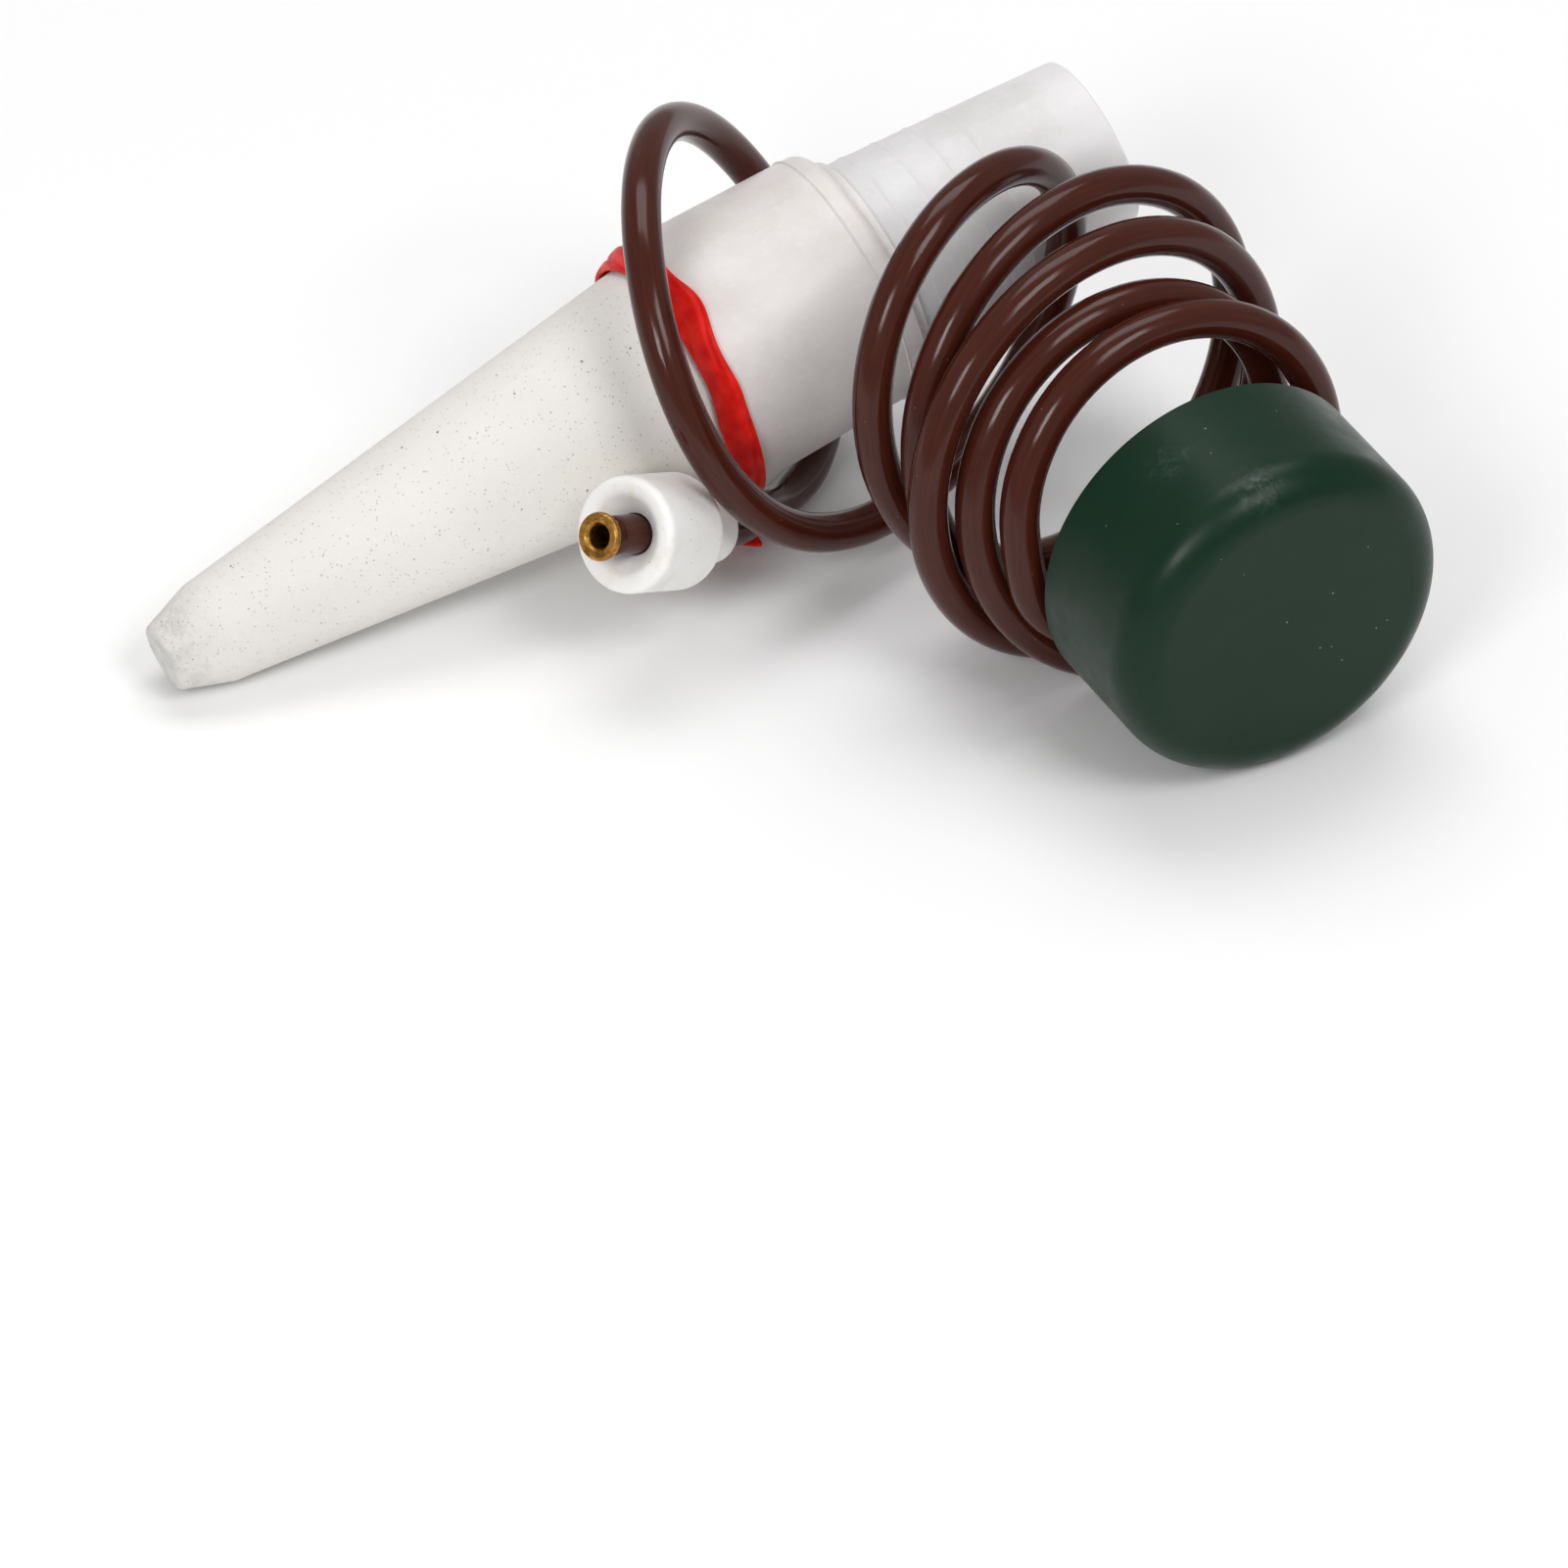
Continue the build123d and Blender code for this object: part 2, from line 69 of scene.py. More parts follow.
class Look:
    """A node material, with short ways to add nodes to it."""

    def __init__(self, name, base, roughness):
        self.material = bpy.data.materials.new(name)
        self.material.use_nodes = True
        self.material.diffuse_color = (*base, 1)
        self.tree = self.material.node_tree
        self.shader = self.tree.nodes["Principled BSDF"]
        self.where = self.add("TexCoord").outputs["Object"]
        self.put("Base Color", (*base, 1))
        self.put("Roughness", roughness)

    def connect(self, socket, value):
        """Feeds a socket with another node's output, or sets it to a value."""
        if isinstance(value, bpy.types.NodeSocket):
            self.tree.links.new(value, socket)
        else:
            socket.default_value = value

    def put(self, name, value):
        """Feeds one of the shader's own sockets."""
        self.connect(self.shader.inputs[name], value)

    def add(self, kind, inputs=None, **settings):
        node = self.tree.nodes.new("ShaderNode" + kind)
        for key, value in settings.items():
            setattr(node, key, value)
        for key, value in (inputs or {}).items():
            self.connect(node.inputs[key], value)
        return node

    def calc(self, kind, first, second):
        return self.add("Math", {0: first, 1: second}, operation=kind).outputs[0]

    def vector(self, kind, first, second, result):
        return self.add("VectorMath", {0: first, 1: second}, operation=kind).outputs[result]

    def stretched(self, where, scale, rotation=(0, 0, 0)):
        """Coordinates that are scaled, for marks that run one way."""
        return self.add("Mapping", {"Vector": where, "Rotation": rotation, "Scale": scale}).outputs["Vector"]

    def noise(self, scale, detail=3.0, rough=0.55, where=None):
        where = self.where if where is None else where
        inputs = {"Vector": where, "Scale": scale, "Detail": detail, "Roughness": rough}
        return self.add("TexNoise", inputs).outputs["Fac"]

    def spread(self, value, low, high, start=0.0, end=1.0):
        """Maps low to start and high to end, smoothly, and holds what lies beyond."""
        inputs = {"Value": value, "From Min": low, "From Max": high, "To Min": start, "To Max": end}
        return self.add("MapRange", inputs, interpolation_type="SMOOTHSTEP").outputs["Result"]

    def mix(self, share, first, second):
        """Colour between two colours."""
        node = self.add("Mix", data_type="RGBA")
        values = {"Factor": share, "A": first, "B": second}
        for socket in node.inputs:
            if socket.enabled:
                value = values[socket.name]
                self.connect(socket, (*value, 1) if isinstance(value, tuple) else value)
        return [socket for socket in node.outputs if socket.enabled][0]

    def tint(self, colour, mask, strength, paint):
        """Lays a paint over a colour where the mask is 1."""
        return self.mix(self.spread(mask, 0, 1, 0, strength), colour, paint)

    def specks(self, scale, size, share):
        """1 in sparse round dots, 0 elsewhere. The size is in cells, and the share is of cells with a dot."""
        cell = self.add("TexVoronoi", {"Vector": self.where, "Scale": scale, "Randomness": 1.0})
        dot = self.spread(cell.outputs["Distance"], size * 0.6, size, 1.0, 0.0)
        draw = self.add("SeparateColor", {"Color": cell.outputs["Color"]}).outputs["Red"]
        return self.calc("MULTIPLY", dot, self.calc("LESS_THAN", draw, share))

    def bump(self, height, distance, strength, under=None):
        """Normal of a surface raised by a height, on top of the normal under it."""
        inputs = {"Height": height, "Distance": distance, "Strength": strength}
        if under is not None:
            inputs["Normal"] = under
        return self.add("Bump", inputs).outputs["Normal"]


# Materials

TIP_ROUGHNESS = (-1.0, 9.0)  # the tip's rough end fades out over this, in millimetres


def ceramic_material():
    """Porous clay: chalky, with a fine grain, pinholes and a few dark specks, and a rough grey tip."""
    look = Look("porous_ceramic", (0.80, 0.77, 0.73), 0.85)
    cloud = look.spread(look.noise(55, 4), 0.35, 0.7)
    colour = look.mix(cloud, (0.805, 0.78, 0.745), (0.77, 0.742, 0.705))
    pores = look.specks(1900, 0.20, 0.40)
    pits = look.specks(1050, 0.14, 0.34)
    dots = look.specks(700, 0.125, 0.10)
    colour = look.tint(colour, pores, 0.36, (0.42, 0.39, 0.36))
    colour = look.tint(colour, pits, 0.46, (0.30, 0.27, 0.24))
    colour = look.tint(colour, dots, 0.80, (0.07, 0.06, 0.05))
    along = look.add("SeparateXYZ", {"Vector": look.where}).outputs["X"]
    near_tip = look.spread(along, *(TIP.x + reach * MM for reach in TIP_ROUGHNESS), 1, 0)
    smudge = look.spread(look.noise(420, 5, 0.65), 0.40, 0.66)
    colour = look.tint(colour, look.calc("MULTIPLY", near_tip, smudge), 0.5, (0.56, 0.55, 0.53))
    look.put("Base Color", colour)
    broken = look.bump(look.calc("MULTIPLY", near_tip, look.noise(900, 5, 0.7)), 0.0007, 0.8)
    grain = look.bump(look.noise(3000, 4, 0.7), 0.0001, 0.55, broken)
    hollows = look.calc("ADD", look.calc("ADD", pits, pores), dots)
    look.put("Normal", look.bump(look.calc("MULTIPLY", hollows, -1.0), 0.00015, 0.8, grain))
    return look.material


def sleeve_material(name, base, shade, haze, depth):
    """Natural translucent plastic: milky, satin, with faint flow marks, rub marks and small dark specks."""
    look = Look(name, base, 0.36)
    flow = look.spread(look.noise(70, 5, 0.6), 0.34, 0.70)
    colour = look.mix(flow, base, shade)
    grain = look.spread(look.noise(1100, 4, 0.7), 0.45, 0.75)
    colour = look.tint(colour, grain, 0.14, (0.95, 0.94, 0.94))
    colour = look.tint(colour, look.specks(190, 0.03, 0.2), 0.55, (0.25, 0.21, 0.19))
    look.put("Base Color", colour)
    look.put("Subsurface Weight", haze)
    look.put("Subsurface Radius", (1.0, 0.9, 0.85))
    look.put("Subsurface Scale", depth)
    look.put("Specular IOR Level", 0.4)
    rub = look.noise(420, 5, 0.7)
    look.put("Roughness", look.spread(rub, 0.3, 0.75, 0.34, 0.50))
    ripple = look.bump(look.noise(90, 2), 0.0004, 0.2)
    look.put("Normal", look.bump(rub, 0.00003, 0.5, ripple))
    return look.material


# Scuffed places on the cap, the second of which is also a painted highlight on its top edge, and how strong
# each is, and how far each patch reaches, in millimetres
SCUFFS_AND_EDGE_HIGHLIGHT = (((36.3, -35.9, 43.4), 0.12), ((42.0, -47.0, 45.0), 0.26), ((63.1, -33.5, 37.3), 0.30))
SCUFF_AND_HIGHLIGHT_REACH = 5.5


def cap_material():
    """Dark green moulded plastic: satin, hazy where it has been rubbed, with dust and scuffs, and a painted
    highlight on its top edge.
    """
    look = Look("cap_green", (0.0045, 0.024, 0.0115), 0.42)
    cloud = look.spread(look.noise(45, 4), 0.35, 0.7)
    colour = look.mix(cloud, (0.0020, 0.0205, 0.0086), (0.0036, 0.0228, 0.0104))
    rubbed = look.spread(look.noise(130, 6, 0.7), 0.60, 0.84)
    colour = look.tint(colour, rubbed, 0.10, (0.10, 0.15, 0.12))
    streaks = look.spread(look.noise(900, 7, 0.72), 0.36, 0.74)
    # Pale scuff patches; the one on the top edge is a painted highlight as well as a scuff
    for place, strength in SCUFFS_AND_EDGE_HIGHLIGHT:
        away = look.vector("DISTANCE", look.where, Vector(place) * MM, "Value")
        near = look.spread(away, 0.0, SCUFF_AND_HIGHLIGHT_REACH * MM, 1, 0)
        colour = look.tint(colour, look.calc("MULTIPLY", streaks, near), strength, (0.22, 0.28, 0.25))
    colour = look.tint(colour, look.specks(620, 0.10, 0.10), 0.42, (0.36, 0.44, 0.40))
    look.put("Base Color", colour)
    look.put("Specular IOR Level", 0.22)
    look.put("Roughness", look.spread(look.noise(220, 5, 0.65), 0.3, 0.75, 0.30, 0.42))
    sink = look.bump(look.noise(30, 2), 0.001, 0.3)
    look.put("Normal", look.bump(look.noise(900, 4, 0.7), 0.00004, 0.4, sink))
    return look.material


def hose_material():
    """Dark brown glossy hose with faint lines from the extruder's die, and dust."""
    look = Look("hose_brown", (0.066, 0.015, 0.0085), 0.24)
    along = look.add("UVMap", uv_map="route").outputs["UV"]
    die = look.noise(2.0, 3, 0.55, look.stretched(along, (16.0, 0.7, 1.0)))
    colour = look.mix(look.spread(die, 0.3, 0.7), (0.050, 0.0094, 0.0049), (0.061, 0.0132, 0.0075))
    colour = look.tint(colour, look.specks(620, 0.075, 0.12), 0.35, (0.32, 0.24, 0.20))
    look.put("Base Color", colour)
    look.put("Specular IOR Level", 0.26)
    look.put("Roughness", look.spread(look.noise(300, 5, 0.65), 0.3, 0.75, 0.12, 0.21))
    look.put("Normal", look.bump(die, 0.00006, 0.25))
    return look.material


def sinker_material():
    """White fired clay with ochre stains round its front edge, scratches and dark pits."""
    look = Look("sinker_ceramic", (0.92, 0.91, 0.89), 0.55)
    cloud = look.spread(look.noise(160, 4), 0.35, 0.7)
    colour = look.mix(cloud, (0.93, 0.92, 0.90), (0.885, 0.865, 0.835))
    offset = look.vector("SUBTRACT", look.where, SINKER_FRONT * MM, "Vector")
    depth = look.vector("DOT_PRODUCT", offset, SINKER_DIR, "Value")
    near_front = look.spread(depth, -0.0055, -0.0015)
    blotch = look.spread(look.noise(230, 5, 0.62), 0.50, 0.70)
    colour = look.tint(colour, look.calc("MULTIPLY", blotch, near_front), 0.26, (0.74, 0.60, 0.38))
    scratch_way = look.stretched(look.where, (700, 3000, 3000), (0.3, 0.5, 0.4))
    scratch = look.spread(look.noise(1.0, 3, 0.6, scratch_way), 0.69, 0.75)
    colour = look.tint(colour, scratch, 0.55, (0.25, 0.23, 0.21))
    pits = look.specks(900, 0.11, 0.16)
    colour = look.tint(colour, pits, 0.6, (0.16, 0.14, 0.12))
    look.put("Base Color", colour)
    grain = look.bump(look.noise(1800, 4, 0.65), 0.0001, 0.5)
    hollows = look.calc("MULTIPLY", look.calc("ADD", pits, scratch), -1.0)
    look.put("Normal", look.bump(hollows, 0.00015, 0.8, grain))
    return look.material


def brass_material():
    """Yellow brass, tarnished golden brown, with fine dark spots."""
    look = Look("brass", (0.46, 0.24, 0.055), 0.4)
    look.put("Metallic", 1.0)
    tarnish = look.spread(look.noise(1100, 5, 0.65), 0.40, 0.66)
    colour = look.mix(tarnish, (0.50, 0.26, 0.058), (0.25, 0.11, 0.022))
    spots = look.spread(look.noise(3400, 4, 0.6), 0.56, 0.70)
    look.put("Base Color", look.tint(colour, spots, 0.65, (0.09, 0.036, 0.010)))
    look.put("Roughness", look.spread(look.noise(1500, 4, 0.6), 0.3, 0.7, 0.28, 0.5))
    look.put("Normal", look.bump(look.noise(2600, 3, 0.6), 0.00008, 0.4))
    return look.material


def tie_material():
    """Red plastic strip with soft lengthwise creases, with painted shade in their valleys and a painted
    highlight on their backs, and flecks where it is worn.
    """
    look = Look("tie_red", (0.68, 0.010, 0.007), 0.42)
    along = look.add("UVMap", uv_map="strip").outputs["UV"]
    crease = look.noise(2.5, 3, 0.5, look.stretched(along, (3.0, 1.3, 1.0)))
    # Painted shade and highlight: the red is darker where the creases sink and lighter where they rise, from
    # the same noise as the bump
    colour = look.mix(look.spread(crease, 0.32, 0.7), (0.62, 0.005, 0.003), (0.84, 0.018, 0.010))
    look.put("Base Color", look.tint(colour, look.specks(1500, 0.12, 0.07), 0.4, (0.90, 0.34, 0.28)))
    look.put("Specular IOR Level", 0.14)
    look.put("Roughness", look.spread(crease, 0.3, 0.7, 0.48, 0.36))
    look.put("Normal", look.bump(crease, 0.00025, 0.4))
    return look.material


def rubber_material():
    """Black seal rubber with a moulded grain and a grey bloom."""
    look = Look("seal_rubber", (0.02, 0.02, 0.02), 0.7)
    bloom = look.spread(look.noise(240, 4), 0.45, 0.75)
    look.put("Base Color", look.mix(bloom, (0.016, 0.016, 0.016), (0.05, 0.05, 0.048)))
    look.put("Normal", look.bump(look.noise(1600, 3), 0.0001, 0.4))
    return look.material


def floor_material():
    """Pale paper sweep, with a trace of tone."""
    look = Look("floor_paper", (0.93, 0.93, 0.93), 0.9)
    look.put("Base Color", look.mix(look.noise(3, 2), (0.94, 0.94, 0.94), (0.92, 0.92, 0.92)))
    look.put("Specular IOR Level", 0.1)
    return look.material


rubber = rubber_material()
materials = {
    "ceramic_cone": ceramic_material(),
    "collar": sleeve_material("collar_plastic", (0.775, 0.737, 0.722), (0.695, 0.65, 0.63), 0.3, 0.002),
    "neck_tube": sleeve_material("neck_plastic", (0.765, 0.75, 0.752), (0.68, 0.66, 0.66), 0.5, 0.004),
    "cap": cap_material(),
    "cone_seal": rubber,
    "cap_seal": rubber,
}
for name, mat in materials.items():
    nodes[name].data.materials.clear()
    nodes[name].data.materials.append(mat)


# Mesh helpers

def band(bm, first, second, uv=None, start=0.0, end=0.0):
    """Smooth faces between two closed rings. Their UV is the way round, and the span from start to end."""
    count = len(first)
    for k in range(count):
        after = (k + 1) % count
        face = bm.faces.new((first[k], first[after], second[after], second[k]))
        face.smooth = True
        if uv is not None:
            for loop, (u, v) in zip(face.loops, ((k, start), (k + 1, start), (k + 1, end), (k, end))):
                loop[uv].uv = (u / count, v)


def finished(bm, name):
    """The mesh, with its faces turned outwards."""
    bmesh.ops.recalc_face_normals(bm, faces=bm.faces)
    mesh = bpy.data.meshes.new(name)
    bm.to_mesh(mesh)
    bm.free()
    return mesh


def add_object(name, data):
    added = bpy.data.objects.new(name, data)
    bpy.context.scene.collection.objects.link(added)
    return added


# The hose's route, in millimetres, as in the CAD model

# One value for each turn, from the loop round the spike to the loop in the cap's mouth
TURN_X = (3.9, 24.1, 41.4, 42.5, 39.2, 43.5, 47.4)
TURN_Y = (46.9, 14.3, -0.5, -6.9, -14.9, -18.9, -29.8)
TURN_HEADING = (-53, -68, -78, -82, -86, -88, -102)
TURN_TILT = (65, 8, 9, 9, 5, 15, 12)
TURN_RADIUS = (28.1, 25.1, 25.7, 26.4, 24.8, 22.6, 24.4)
TURN_LIFT = (1.2, 5.2, 3.1, 1.4, 0.2, 0.3, 1.6)
TURN_STEPS = 12  # route points in a turn
LAST_TURN = 5.75  # the hose leaves its turns here
LAST_RUN = 5.0  # and runs straight on for this length
HOSE_RADIUS = 2.5
HOSE_BORE = 1.6
HOSE_STAND_OUT = 4.6  # from the sinker's front to the hose's free end
SINKER_REAR = 19.0  # from the sinker's front to its back
STRAIGHT_POINT = 8.0  # a route point inside the sinker
STRAIGHT_TAIL = 2.0  # straight hose behind the sinker
LEAD_RUN = 4.0
LEAD_POINTS = ((10.6, 20.2, 6.6), (15.6, 23.4, 3.9), (23.7, 28.9, 2.9))
CAP_POINTS = (
    (24.5, -25.2, 17.2), (28.3, -25.6, 13.2), (33.1, -26.9, 10.2), (37.5, -29.6, 8.0),
    (40.3, -33.3, 6.6), (41.19, -37.65, 5.87), (41.19, -41.4, 5.87), (41.19, -45.05, 5.87),
)


def turn_value(values, turn):
    """Smooth value between the turns that the list names."""
    first = min(int(turn), len(values) - 2)
    share = turn - first
    before = values[first - 1] if first else 2 * values[0] - values[1]
    here, there = values[first], values[first + 1]
    after = values[first + 2] if first + 2 < len(values) else 2 * there - here
    bend = 2 * before - 5 * here + 4 * there - after + share * (3 * (here - there) + after - before)
    return here + share / 2 * (there - before + share * bend)


def hose_at(turn, swell=1.0):
    """Middle of the wound hose, a whole turn being at the bottom of its loop."""
    heading = math.radians(turn_value(TURN_HEADING, turn))
    tilt = math.radians(turn_value(TURN_TILT, turn))
    radius = turn_value(TURN_RADIUS, turn)
    side = Vector((-math.sin(heading), math.cos(heading), 0))
    up = Vector((-math.cos(heading) * math.sin(tilt), -math.sin(heading) * math.sin(tilt), math.cos(tilt)))
    height = radius * math.cos(tilt) + HOSE_RADIUS + turn_value(TURN_LIFT, turn)
    centre = Vector((turn_value(TURN_X, turn), turn_value(TURN_Y, turn), height))
    angle = 2 * math.pi * turn
    return centre + swell * radius * (math.sin(angle) * side - math.cos(angle) * up)


def hose_route():
    """Points that steer the hose, from the cap to its free end."""
    behind = SINKER_REAR + STRAIGHT_TAIL
    straight = (HOSE_STAND_OUT, -STRAIGHT_POINT, -behind, -behind - LEAD_RUN)
    points = [SINKER_FRONT + run * SINKER_DIR for run in straight]
    points += [Vector(point) for point in LEAD_POINTS]
    swell = 1 / math.cos(math.pi / TURN_STEPS)  # the spline cuts its corners, so they stand out
    points += [hose_at((step + 0.5) / TURN_STEPS, swell) for step in range(1, round(LAST_TURN * TURN_STEPS))]
    ahead = (hose_at(LAST_TURN + 0.0005) - hose_at(LAST_TURN - 0.0005)).normalized()
    points += [hose_at(LAST_TURN) + LAST_RUN * ahead]
    points += [Vector(point) for point in CAP_POINTS]
    return points[::-1]


def smooth_line(points):
    """Points of the route's own NURBS spline, in metres."""
    line = bpy.data.curves.new("route", "CURVE")
    line.dimensions = "3D"
    line.resolution_u = 8
    spline = line.splines.new("NURBS")
    spline.points.add(len(points) - 1)
    for point, co in zip(spline.points, points):
        point.co = (*(co * MM), 1)
    spline.order_u = 3
    spline.use_endpoint_u = True
    carrier = add_object("route", line)
    mesh = bpy.data.meshes.new_from_object(carrier)
    found = [v.co.copy() for v in mesh.vertices]
    bpy.data.objects.remove(carrier)
    bpy.data.meshes.remove(mesh)
    bpy.data.curves.remove(line)
    return found


# How far the bore goes into the hose at the cap and at the free end, in millimetres
CAP_BORE_DEPTH = 8.0
FREE_BORE_DEPTH = 12.0
ROUTE_UV = 100  # UV for a metre of hose


def hose_mesh(name, line, sides=24):
    """A tube along a line, with an open bore at both ends."""
    bm = bmesh.new()
    uv = bm.loops.layers.uv.new("route")
    across = (line[1] - line[0]).normalized().orthogonal().normalized()
    last = len(line) - 1
    frames, travelled = [], []
    for i, point in enumerate(line):
        ahead = (line[min(i + 1, last)] - line[max(i - 1, 0)]).normalized()
        across = (across - ahead * across.dot(ahead)).normalized()
        frames.append((point, across.copy(), ahead.cross(across)))
        travelled.append(travelled[-1] + (point - line[i - 1]).length if i else 0.0)

    def ring(i, radius):
        point, one, two = frames[i]
        turn = [2 * math.pi * k / sides for k in range(sides)]
        return [bm.verts.new(point + radius * MM * (math.cos(a) * one + math.sin(a) * two)) for a in turn]

    rings = [ring(i, HOSE_RADIUS) for i in range(len(line))]
    for i in range(last):
        band(bm, rings[i], rings[i + 1], uv, travelled[i] * ROUTE_UV, travelled[i + 1] * ROUTE_UV)
    at_cap = [i for i in range(len(line)) if travelled[i] < CAP_BORE_DEPTH * MM]
    at_free_end = [i for i in range(last, -1, -1) if travelled[last] - travelled[i] < FREE_BORE_DEPTH * MM]
    for depth, previous in ((at_cap, rings[0]), (at_free_end, rings[last])):
        for i in depth:
            inner = ring(i, HOSE_BORE)
            band(bm, previous, inner, uv, travelled[i] * ROUTE_UV, travelled[i] * ROUTE_UV)
            previous = inner
        bm.faces.new(previous)
    return finished(bm, name)


# The sinker and the eyelet, turned on the line of the hose's straight end

# Corners of the outlines in millimetres: radius, distance from the sinker's front, and how far it is rounded
SINKER_OUTLINE = (
    (2.6, -2.6, 0.15), (5.2, 0.0, 0.65), (7.35, 0.0, 1.2), (7.35, -11.6, 1.0),
    (4.4, -11.6, 0.45), (4.4, -SINKER_REAR, 0.8), (2.6, -SINKER_REAR, 0.2),
)
EYELET_OUTLINE = (
    (1.4, -0.4, 0.04), (HOSE_BORE, -0.4, 0.04), (HOSE_BORE, HOSE_STAND_OUT, 0.05),
    (3.05, HOSE_STAND_OUT, 0.12), (3.05, 5.2, 0.24), (2.7, 5.5, 0.16), (1.85, 5.42, 0.25), (1.5, 4.9, 0.2),
)


def rounded(corners, steps=8, margin=1.1):
    """Closed outline with its corners rounded, and a point beside each rounding to keep the rest flat."""
    line = []
    for i, (radius, height, cut) in enumerate(corners):
        corner = Vector((radius, height))
        before = (Vector(corners[i - 1][:2]) - corner).normalized()
        after = (Vector(corners[(i + 1) % len(corners)][:2]) - corner).normalized()
        start, end = corner + cut * before, corner + cut * after
        line.append(corner + margin * cut * before)
        for step in range(steps + 1):
            share = step / steps
            line.append(start.lerp(corner, share).lerp(corner.lerp(end, share), share))
        line.append(corner + margin * cut * after)
    return line


def turned_mesh(name, corners, sides=96):
    """A ring with the outline that the corners give."""
    outline = rounded(corners)
    one = SINKER_DIR.orthogonal().normalized()
    two = SINKER_DIR.cross(one)
    bm = bmesh.new()
    rows = []
    for k in range(sides):
        angle = 2 * math.pi * k / sides
        outward = math.cos(angle) * one + math.sin(angle) * two
        rows.append([bm.verts.new((SINKER_FRONT + p.y * SINKER_DIR + p.x * outward) * MM) for p in outline])
    for k in range(sides):
        band(bm, rows[k], rows[(k + 1) % sides])
    return finished(bm, name)


sinker = add_object("white_sinker", turned_mesh("white_sinker", SINKER_OUTLINE))
sinker.data.materials.append(sinker_material())
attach(sinker, "sinker")
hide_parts("sinker_weight")

eyelet = add_object("rolled_eyelet", turned_mesh("rolled_eyelet", EYELET_OUTLINE))
eyelet.data.materials.append(brass_material())
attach(eyelet, "spike")
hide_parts("brass_eyelet")

hose_line = smooth_line(hose_route())
hose = add_object("brown_hose", hose_mesh("brown_hose", hose_line))
hose.data.materials.append(hose_material())
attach(hose, "spike")
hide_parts("hose_end", "hose_lead", "hose_coil", "hose_tail")
tuple(hose_line[0])
[tuple(p) for p in hose_line]


# The tie: lengths in millimetres, along the spike from its tip, and degrees from the top to the front

TIE_LOW = 72.65
TIE_HIGH = 76.1
TIE_HALF_THICKNESS = 0.55
TIE_GAP = 0.12  # between the strip and the ceramic
TIE_RINGS = 360
TIE_SIDES = 40
TIE_UV = 10  # UV for once round
FLAT_ENDS = 0.9  # powers that make the strip's section flatter than an ellipse
FLAT_FACES = 0.65

# In front the strip leans on the collar's edge: where the lean grows and ends, and what it does
LEAN_GROWS = (-75, -5)
LEAN_ENDS = (140, 127)
LEAN_RISE = 2.0  # its upper edge stands out further
LEAN_LAP = 0.55  # and laps over the collar
LEAN_SHIFT = 1.1  # its lower edge moves up
SHIFT_LOSS = 0.7  # but less so lower down
SHIFT_LESSENS = (56, 82)
BULGES = ((24, 14, 1.4), (62, 9, 0.3), (-8, 12, 0.5))  # where it laps further: angle, spread and length

# Just behind the top it is a little wider towards the tip
FLARE = 0.5
FLARE_GROWS = (-95, -55)
FLARE_ENDS = (0, -30)

# Folds, which cross the strip on the slant
FOLD_DEPTH = 0.42
FOLD_PITCH = 60
FOLD_START = 12
FOLD_SLANT = 52
FOLD_WIDTH = 0.34


def ramp(value, start, end):
    """Smooth step from 0 at the start to 1 at the end."""
    share = min(max((value - start) / (end - start), 0.0), 1.0)
    return share * share * (3 - 2 * share)


def flattened(value, power):
    return math.copysign(abs(value) ** power, value)


def cone_radius(along):
    """Outside of the ceramic."""
    share = (along - CONE_START) / (CONE_END - CONE_START)
    return CONE_START_RADIUS + share * (CONE_END_RADIUS - CONE_START_RADIUS)


def valley(degrees, across):
    """1 between two folds of the strip and 0 on their backs."""
    phase = (degrees - FOLD_START - FOLD_SLANT * (1 - across)) / FOLD_PITCH
    return math.exp(-((math.sin(math.pi * phase) / FOLD_WIDTH) ** 2))


def tie_section(degrees):
    """The strip's section at an angle: distances along the spike and out from its axis."""
    lean = ramp(degrees, *LEAN_GROWS) * ramp(degrees, *LEAN_ENDS)
    shift = lean * (LEAN_SHIFT - SHIFT_LOSS * ramp(degrees, *SHIFT_LESSENS))
    flare = FLARE * ramp(degrees, *FLARE_GROWS) * ramp(degrees, *FLARE_ENDS)
    bulge = sum(length * math.exp(-(((degrees - at) / spread) ** 2)) for at, spread, length in BULGES)
    low = TIE_LOW + shift - flare
    high = TIE_HIGH + lean * lean * (LEAN_LAP + bulge)
    foot = cone_radius(low) + TIE_GAP
    head = cone_radius(TIE_HIGH) + TIE_GAP + lean * LEAN_RISE
    for k in range(TIE_SIDES):
        angle = 2 * math.pi * k / TIE_SIDES
        across = flattened(math.cos(angle), FLAT_ENDS)
        outside = flattened(math.sin(angle), FLAT_FACES)
        share = (across + 1) / 2
        climb = lean * math.sin(math.pi / 2 * share) + (1 - lean) * share
        out = foot + (head - foot) * climb + TIE_HALF_THICKNESS * (1 + outside)
        if outside > 0:
            out -= FOLD_DEPTH * outside * valley(degrees, across)
        yield low + (high - low) * share, out


def tie_mesh(name):
    """A twisted strip round the cone, which leans on the collar in front and lies beside it elsewhere."""
    bm = bmesh.new()
    uv = bm.loops.layers.uv.new("strip")
    rings = []
    for j in range(TIE_RINGS):
        degrees = 360 * j / TIE_RINGS - 180
        theta = math.radians(degrees)
        outward = math.cos(theta) * RISE + math.sin(theta) * FRONT
        section = tie_section(degrees)
        rings.append([bm.verts.new(TIP + (along * AXIS + out * outward) * MM) for along, out in section])
    for j in range(TIE_RINGS):
        span = [edge / TIE_RINGS * TIE_UV for edge in (j, j + 1)]
        band(bm, rings[j], rings[(j + 1) % TIE_RINGS], uv, *span)
    return finished(bm, name)


